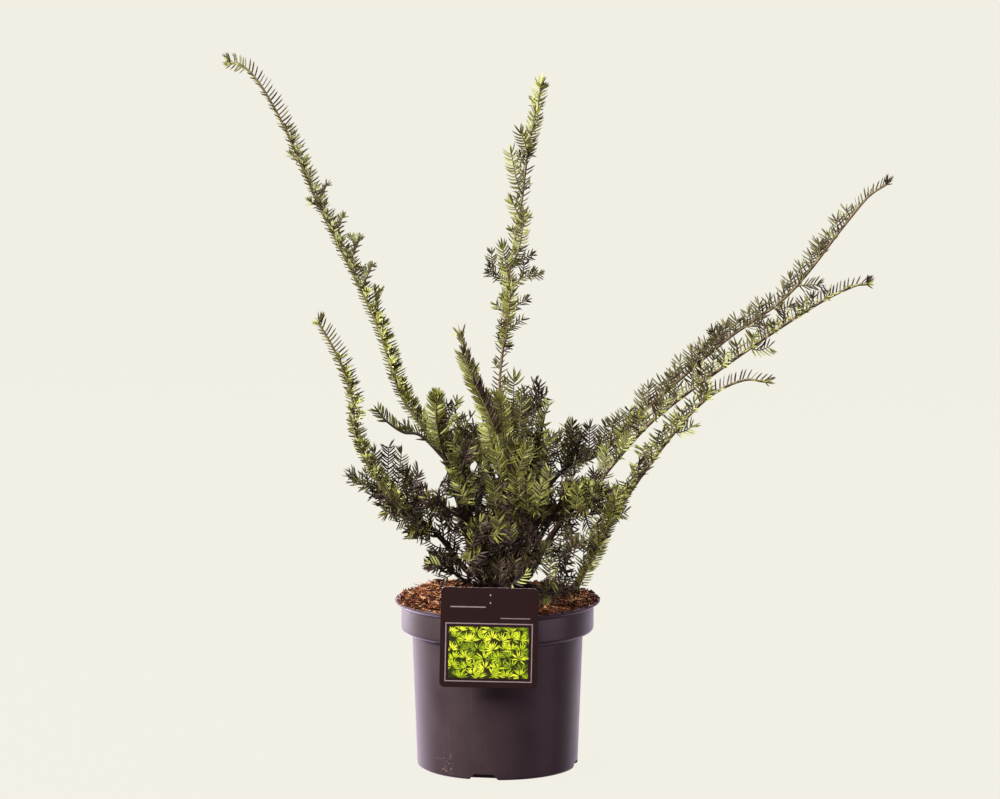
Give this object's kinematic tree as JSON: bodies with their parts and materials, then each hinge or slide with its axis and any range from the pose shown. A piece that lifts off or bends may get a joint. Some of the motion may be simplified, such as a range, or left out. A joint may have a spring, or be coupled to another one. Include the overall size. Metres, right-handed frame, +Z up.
{
  "type": "potted dwarf japanese yew",
  "caption": "Dwarf japanese yew with long needled whips over a dense low crown, growing in a round plastic nursery pot with a hanging label card.",
  "frame": {"origin": "centre of the pot's flat underside, on the surface it stands on", "axes": "+Z up; the plant's wide face and its label card look to -Y; +X to the right when it is seen from there"},
  "size_m": [0.7442, 0.2639, 0.7876],
  "materials": {
    "pot": "semi-matte dark purple-grey moulded plastic",
    "soil": "loose reddish-brown peat fibre",
    "card": "printed thin plastic card",
    "strip": "thin plastic strip",
    "bark": "thin scaly reddish-brown bark",
    "needles": "waxy dark green needles, yellow-green on young shoots"
  },
  "bodies": {
    "root": {"pot": "pot", "soil": "soil", "label_card": "card", "label_strip": "strip", "trunk": "bark", "left_bough": "bark", "low_left_bough": "bark", "inner_left_bough": "bark", "back_left_bough": "bark", "leader_bough": "bark", "second_bough": "bark", "front_bough": "bark", "back_bough": "bark", "right_upper_bough": "bark", "right_middle_bough": "bark", "right_low_bough": "bark", "right_inner_bough": "bark", "back_right_bough": "bark", "centre_right_bough": "bark", "low_front_bough": "bark", "left_long_whip": "needles", "left_side_spray": "needles", "left_club": "needles", "left_upright_spray": "needles", "left_inner_upper_spray": "needles", "left_short_whip": "needles", "left_low_spray": "needles", "left_front_spray": "needles", "left_mid_spray": "needles", "left_under_spray": "needles", "low_left_tuft": "needles", "low_front_tuft": "needles", "inner_left_spray": "needles", "inner_side_spray": "needles", "inner_outer_spray": "needles", "leader_whip": "needles", "centre_column": "needles", "second_whip": "needles", "centre_front_spray": "needles", "centre_right_spray": "needles", "centre_right_front": "needles", "right_upper_whip": "needles", "right_upper_tuft": "needles", "right_outer_tuft": "needles", "right_middle_whip": "needles", "right_middle_tuft": "needles", "right_under_spray": "needles", "right_low_whip": "needles", "right_low_tuft": "needles", "right_inner_spray": "needles", "right_centre_spray": "needles", "right_front_tuft": "needles", "front_low_tuft": "needles", "front_left_spray": "needles", "front_right_spray": "needles", "back_left_spray": "needles", "back_left_low_spray": "needles", "back_right_spray": "needles", "back_right_low_spray": "needles", "back_spray": "needles"}
  },
  "joints": []
}
